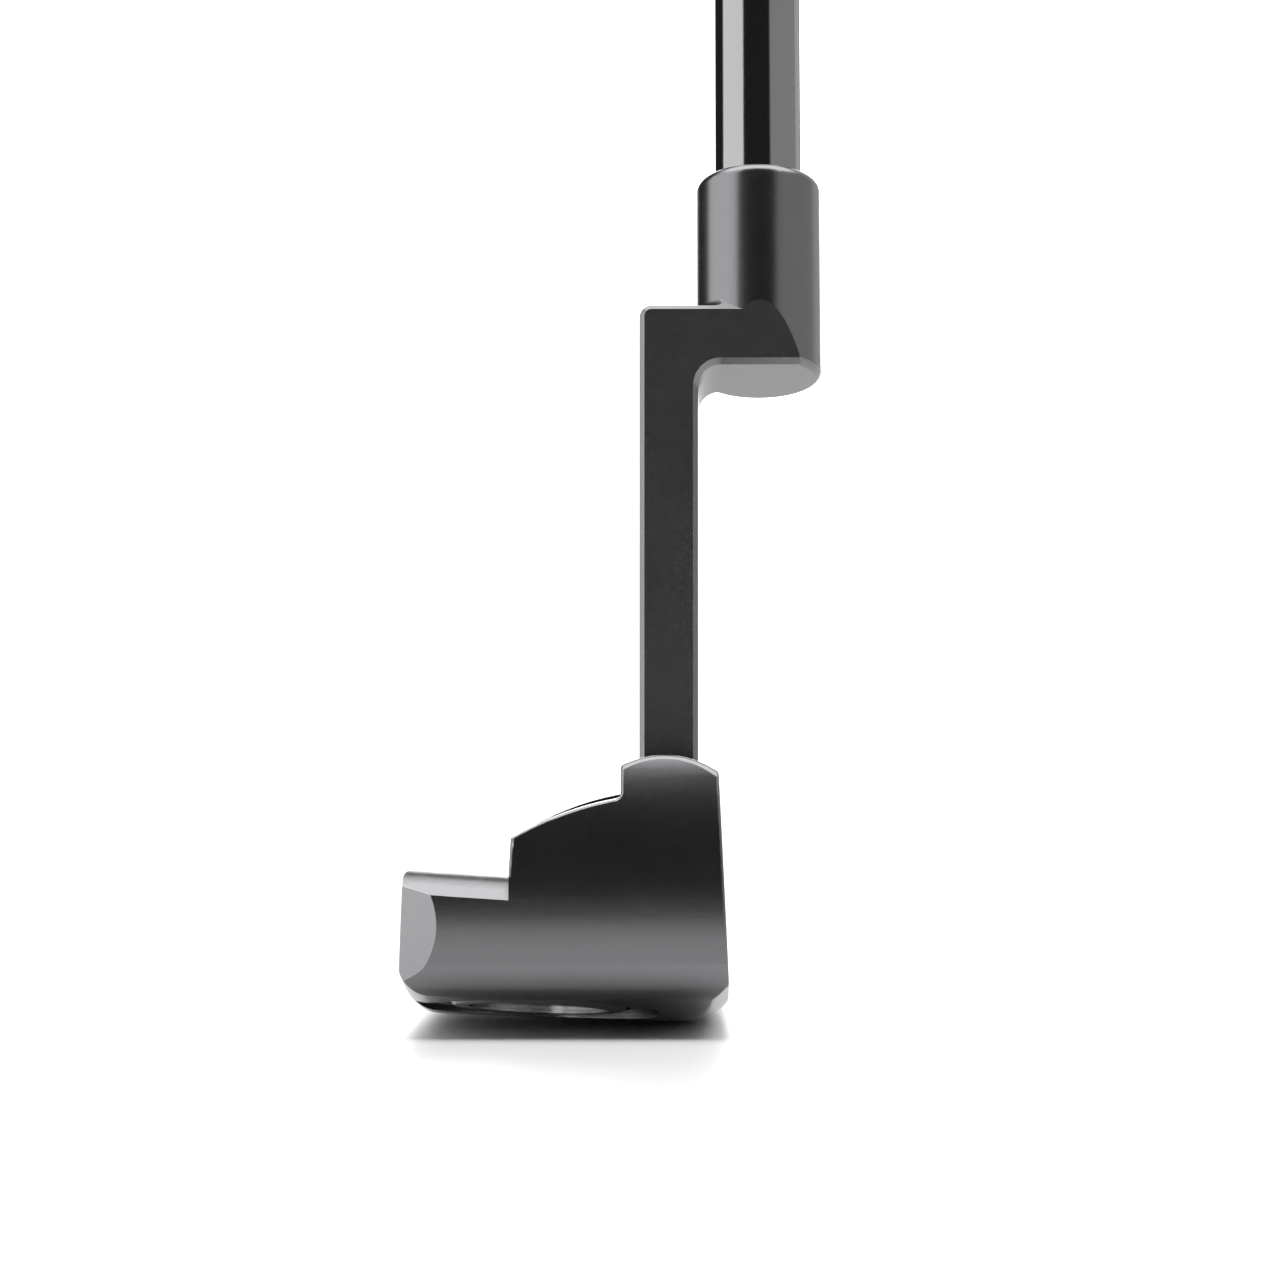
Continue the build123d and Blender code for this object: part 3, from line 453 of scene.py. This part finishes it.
def pip_tree(lean):
    """Rows of small pips on the grip's surface, found by casting rays at the shaft's axis.

    The grip comes in with the shaft's axis along Z; each second row is moved round by half a step. On the
    flat front, which faces -Y, the pips are drawn out into short bars.
    """
    t = Tree("moulded_pips")
    for name in ("Row pitch", "Start", "Pip width", "Pip height", "Bar stretch", "Reach"):
        t.size(name)
    t.size("Rows", "NodeSocketInt")
    t.size("Around", "NodeSocketInt")
    t.size("Rubber", "NodeSocketMaterial")
    given = t.add("NodeGroupInput").outputs
    index = t.add("GeometryNodeInputIndex").outputs[0]
    row = t.sums("FLOOR", t.sums("DIVIDE", index, given["Around"]))
    stagger = t.sums("MULTIPLY", t.sums("MODULO", row, 2.0), 0.5)
    step = t.sums("ADD", t.sums("MODULO", index, given["Around"]), stagger)
    angle = t.sums("MULTIPLY", t.sums("DIVIDE", step, given["Around"]), 2 * math.pi)
    height = t.sums("ADD", given["Start"], t.sums("MULTIPLY", row, given["Row pitch"]))
    spoke = {0: t.sums("COSINE", angle), 1: t.sums("SINE", angle)}
    outward = t.add("ShaderNodeCombineXYZ", spoke).outputs[0]
    inward = t.add("ShaderNodeVectorMath", {0: outward, "Scale": -1.0}, operation="SCALE").outputs[0]
    reach = {0: outward, "Scale": given["Reach"]}
    far = t.add("ShaderNodeVectorMath", reach, operation="SCALE").outputs[0]
    on_axis = t.add("ShaderNodeCombineXYZ", {2: height}).outputs[0]
    source = t.add("ShaderNodeVectorMath", {0: on_axis, 1: far}, operation="ADD").outputs[0]
    whole = t.add("GeometryNodeMergeByDistance", {"Geometry": given["Geometry"]}).outputs[0]
    ray = {"Source Position": source, "Ray Direction": inward, "Ray Length": given["Reach"]}
    hit = t.add("GeometryNodeRaycast", {"Target Geometry": whole, **ray}).outputs
    count = t.sums("MULTIPLY", given["Rows"], given["Around"])
    points = t.add("GeometryNodePoints", {"Count": count, "Position": hit["Hit Position"]}).outputs[0]
    radius = t.sums("MULTIPLY", given["Pip width"], 0.5)
    round_shape = {"Segments": PIP_SEGMENTS, "Rings": PIP_RINGS, "Radius": radius}
    dome = t.add("GeometryNodeMeshUVSphere", round_shape).outputs[0]
    flatness = t.sums("DIVIDE", given["Pip height"], radius)
    facing = t.add("ShaderNodeSeparateXYZ", {0: hit["Hit Normal"]}).outputs[1]
    front = t.sums("LESS_THAN", facing, FLAT_FRONT)
    extra = t.sums("SUBTRACT", given["Bar stretch"], 1.0)
    longer = t.sums("ADD", 1.0, t.sums("MULTIPLY", front, extra))
    stretch = t.add("ShaderNodeCombineXYZ", {0: longer, 1: 1.0, 2: flatness}).outputs[0]
    upright = t.add("FunctionNodeAlignRotationToVector", {"Vector": hit["Hit Normal"]}, axis="Z").outputs[0]
    seats = {"Points": points, "Selection": hit["Is Hit"], "Rotation": upright, "Scale": stretch}
    pips = t.add("GeometryNodeInstanceOnPoints", {"Instance": dome, **seats}).outputs[0]
    mesh = t.add("GeometryNodeRealizeInstances", {0: pips}).outputs[0]
    place = {"Translation": HOLD, "Rotation": lean}
    placed = t.add("GeometryNodeTransform", {"Geometry": mesh, **place}).outputs[0]
    dressed = t.add("GeometryNodeSetMaterial", {"Geometry": placed, "Material": given["Rubber"]}).outputs[0]
    t.add("NodeGroupOutput", {0: dressed})
    return t


def grip_pips(context, looks, material):
    """The grip's moulded pattern as one plain mesh."""
    lean = Matrix.Rotation(-math.atan2(SHAFT_WAY.y, SHAFT_WAY.z), 4, "X")
    skin = frame["nodes"]["grip"].data.copy()
    skin.transform(lean.inverted() @ Matrix.Translation(-HOLD))
    heights = [vertex.co.z for vertex in skin.vertices]
    start = min(heights) + looks.mouth_margin
    rows = int((max(heights) - looks.cap_margin - start) / looks.row_pitch)
    reach = 2 * max(vertex.co.xy.length for vertex in skin.vertices)
    blank = bpy.data.objects.new("grip_skin", skin)
    context.scene.collection.objects.link(blank)
    tree = pip_tree(lean.to_euler())
    modifier = blank.modifiers.new("pips", "NODES")
    modifier.node_group = tree.tree
    values = {
        "Row pitch": looks.row_pitch,
        "Start": start,
        "Pip width": looks.pip_width,
        "Pip height": looks.pip_height,
        "Bar stretch": looks.bar_stretch,
        "Reach": reach,
        "Rows": rows,
        "Around": looks.around,
        "Rubber": material,
    }
    for name, value in values.items():
        modifier[tree.identifiers[name]] = value
    context.view_layer.update()
    plain = bpy.data.meshes.new_from_object(blank.evaluated_get(context.evaluated_depsgraph_get()))
    if not plain.polygons:
        raise RuntimeError("no pip met the grip")
    for polygon in plain.polygons:
        polygon.use_smooth = True
    bpy.data.objects.remove(blank)
    pips = bpy.data.objects.new("grip_pips", plain)
    context.scene.collection.objects.link(pips)
    return pips


# ---------------------------------------------------------------- operators
class PUTTER_OT_steel(bpy.types.Operator):
    """Finish the head and the neck in black"""

    bl_idname = "putter.steel"
    bl_label = "Head and neck"

    def execute(self, context):
        steel = black_steel("satin_black_steel", context.scene.putter_steel)
        for node in ("head_body", "plumber_neck"):
            dress(node, steel)
        dress("neck_braze", film("braze_film", BRAZE, 0.35, 1.0))
        return {"FINISHED"}


class PUTTER_OT_weights(bpy.types.Operator):
    """Finish the sole weights, their rubber rings and the painted marks"""

    bl_idname = "putter.weights"
    bl_label = "Weights and marks"

    def execute(self, context):
        looks = context.scene.putter_weights
        turned = turned_steel("turned_black_steel", looks)
        for node in ("toe_weight", "heel_weight"):
            dress(node, turned)
        white = paint("white_paint_fill", looks.paint)
        dress("weight_marks", white)
        dress("sight_line_paint", white)
        dress("weight_o_rings", rubber("ring_rubber", RING_RUBBER, 0.6))
        return {"FINISHED"}


class PUTTER_OT_shaft(bpy.types.Operator):
    """Finish the shaft, its adhesive and the printed band"""

    bl_idname = "putter.shaft"
    bl_label = "Shaft"

    def execute(self, context):
        looks = context.scene.putter_shaft
        dress("shaft", black_chrome("polished_black_chrome", looks))
        dress("shaft_band", film("printed_band", looks.band, 0.25))
        dress("shaft_epoxy", film("cured_epoxy", EPOXY, 0.3))
        return {"FINISHED"}


class PUTTER_OT_grip(bpy.types.Operator):
    """Finish the grip, its cap and the tape under it"""

    bl_idname = "putter.grip"
    bl_label = "Grip"

    def execute(self, context):
        looks = context.scene.putter_grip
        dress("grip", rubber("grip_rubber", looks.rubber, looks.roughness))
        cap = rubber("cap_rubber", looks.cap, looks.roughness - 0.1, CAP_GRAIN)
        dress("grip_cap", cap)
        dress("grip_tape", film("grip_tape_paper", TAPE, 0.7))
        pip_rubber = rubber("pip_rubber", looks.rubber, looks.roughness - 0.08, PIP_GRAIN)
        pips = grip_pips(context, looks, pip_rubber)
        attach(pips, BODY)
        return {"FINISHED"}


# ---------------------------------------------------------------- studio
class Sky(Graph):
    """The studio's lights, painted on the world by direction, in degrees.

    Azimuth 0 is towards the toe and 90 where the face looks; over runs from 0 at the toe's horizon to 180 at
    the heel's.
    """

    def __init__(self, world):
        super().__init__(world.node_tree)
        way = self.add("ShaderNodeTexCoord").outputs["Generated"]
        parts = self.add("ShaderNodeSeparateXYZ", {0: way}).outputs
        to_toe = self.sums("MULTIPLY", parts["Y"], -1.0)
        self.azimuth = self.degrees(self.sums("ARCTAN2", parts["X"], to_toe))
        self.elevation = self.degrees(self.sums("ARCSINE", parts["Z"]))
        self.away = self.sums("SUBTRACT", 180.0, self.sums("ABSOLUTE", self.azimuth))
        self.over = self.degrees(self.sums("ARCTAN2", parts["Z"], to_toe))
        self.light = 0.0

    def degrees(self, angle):
        """An angle carried over from radians."""
        return self.sums("MULTIPLY", angle, 180 / math.pi)

    def step(self, angle, edge, soft, rising=True):
        """Fades in, or out, across a soft edge."""
        ends = {"From Min": edge - soft / 2, "From Max": edge + soft / 2}
        ends.update({"To Min": 0.0 if rising else 1.0, "To Max": 1.0 if rising else 0.0, "Value": angle})
        return self.add("ShaderNodeMapRange", ends, interpolation_type="SMOOTHSTEP").outputs["Result"]

    def band(self, angle, low, high, soft):
        """1 between two angles, fading at both."""
        return self.sums("MULTIPLY", self.step(angle, low, soft), self.step(angle, high, soft, False))

    def shine(self, brightness, *shapes):
        """Adds a light where all the shapes overlap."""
        level = brightness
        for shape in shapes:
            level = self.sums("MULTIPLY", level, shape)
        self.light = self.sums("MAXIMUM", self.light, level)


def paint_sky(scene, looks):
    """Soft lights on the world; the camera itself sees plain white beyond the floor."""
    world = bpy.data.worlds.new("studio")
    world.use_nodes = True
    scene.world = world
    sky = Sky(world)
    height = sky.band(sky.elevation, *BOX_HEIGHT)
    sky.shine(looks.room, 1.0)
    sky.shine(looks.back_box, sky.band(sky.azimuth, *BACK_SPREAD), height)
    sky.shine(looks.face_box, sky.band(sky.azimuth, *FACE_SPREAD), height)
    sky.shine(looks.strip, sky.band(sky.azimuth, *STRIP_SPREAD), height)
    beyond = sky.step(sky.away, *BACKDROP_SIDE, rising=False)
    sky.shine(looks.backdrop, beyond, sky.step(sky.elevation, *BACKDROP_TOP, rising=False))
    sky.shine(looks.card, sky.band(sky.azimuth, *CARD_SPREAD), sky.band(sky.elevation, *CARD_HEIGHT))
    from_toe = sky.step(sky.over, *OVERHEAD_TOE_END)
    to_heel = sky.step(sky.over, *OVERHEAD_HEEL_END, rising=False)
    overhead = sky.sums("MULTIPLY", from_toe, to_heel)
    sky.shine(looks.top, overhead, sky.step(sky.elevation, *OVERHEAD_LOWEST))
    seen = sky.add("ShaderNodeLightPath").outputs["Is Camera Ray"]
    background = sky.tree.nodes["Background"]
    sky.plug((1.0, 1.0, 1.0), background.inputs["Color"])
    sky.plug(sky.sums("MAXIMUM", sky.light, seen), background.inputs["Strength"])


def lay_floor(scene, looks):
    """A wide pale floor, as part of the stage."""
    n = Nodes("studio_floor")
    cloud = n.noise(FLOOR_PATCH, 2.0)
    n.set(
        Base_Color=n.blend(cloud, tuple(Vector(looks.floor) * 0.99), tuple(looks.floor)),
        Roughness=n.span(cloud, 0.34, 0.4),
        Specular_IOR_Level=0.35,
    )
    half = FLOOR_WIDTH / 2
    mesh = bpy.data.meshes.new("studio_floor")
    corners = [(-half, -half, 0), (half, -half, 0), (half, half, 0), (-half, half, 0)]
    mesh.from_pydata(corners, [], [(0, 1, 2, 3)])
    mesh.materials.append(n.material)
    floor = bpy.data.objects.new("studio_floor", mesh)
    scene.collection.objects.link(floor)


def place_camera(scene, looks):
    """A long lens beyond the toe, level with the top line."""
    camera = bpy.data.objects.new("camera", bpy.data.cameras.new("camera"))
    camera.data.sensor_width = SENSOR_WIDTH
    camera.data.lens = looks.lens
    camera.data.clip_start = NEAREST_SEEN
    camera.location = (looks.camera_side, -looks.camera_distance, looks.camera_height)
    camera.rotation_euler = (math.pi / 2 + looks.camera_pitch, 0, looks.camera_yaw)
    scene.collection.objects.link(camera)
    scene.camera = camera


class PUTTER_OT_stage(bpy.types.Operator):
    """Set the floor, the soft lights and the camera"""

    bl_idname = "putter.stage"
    bl_label = "Studio"

    def execute(self, context):
        scene = context.scene
        looks = scene.putter_stage
        scene.view_settings.view_transform = "Standard"
        paint_sky(scene, looks)
        lay_floor(scene, looks)
        place_camera(scene, looks)
        return {"FINISHED"}


# ---------------------------------------------------------------- add-on
OPERATORS = (PUTTER_OT_steel, PUTTER_OT_weights, PUTTER_OT_shaft, PUTTER_OT_grip, PUTTER_OT_stage)


class PUTTER_PT_looks(bpy.types.Panel):
    """The putter's finishes and studio"""

    bl_idname = "PUTTER_PT_looks"
    bl_label = "Putter"
    bl_space_type = "VIEW_3D"
    bl_region_type = "UI"
    bl_category = PANEL_TAB

    def draw(self, context):
        for operator in OPERATORS:
            self.layout.operator(operator.bl_idname)
        for name, group in GROUPS.items():
            box = self.layout.box()
            box.label(text=group.__doc__)
            for key in group.__annotations__:
                box.prop(getattr(context.scene, name), key)


CLASSES = (*GROUPS.values(), *OPERATORS, PUTTER_PT_looks)


def register():
    for item in CLASSES:
        bpy.utils.register_class(item)
    for name, group in GROUPS.items():
        setattr(bpy.types.Scene, name, PointerProperty(type=group))


def unregister():
    for name in GROUPS:
        delattr(bpy.types.Scene, name)
    for item in reversed(CLASSES):
        bpy.utils.unregister_class(item)


def main():
    """Registers the add-on and makes everything in order."""
    register()
    bpy.ops.putter.steel()
    bpy.ops.putter.weights()
    bpy.ops.putter.shaft()
    bpy.ops.putter.grip()
    bpy.ops.putter.stage()


if __name__ == "__main__":
    main()
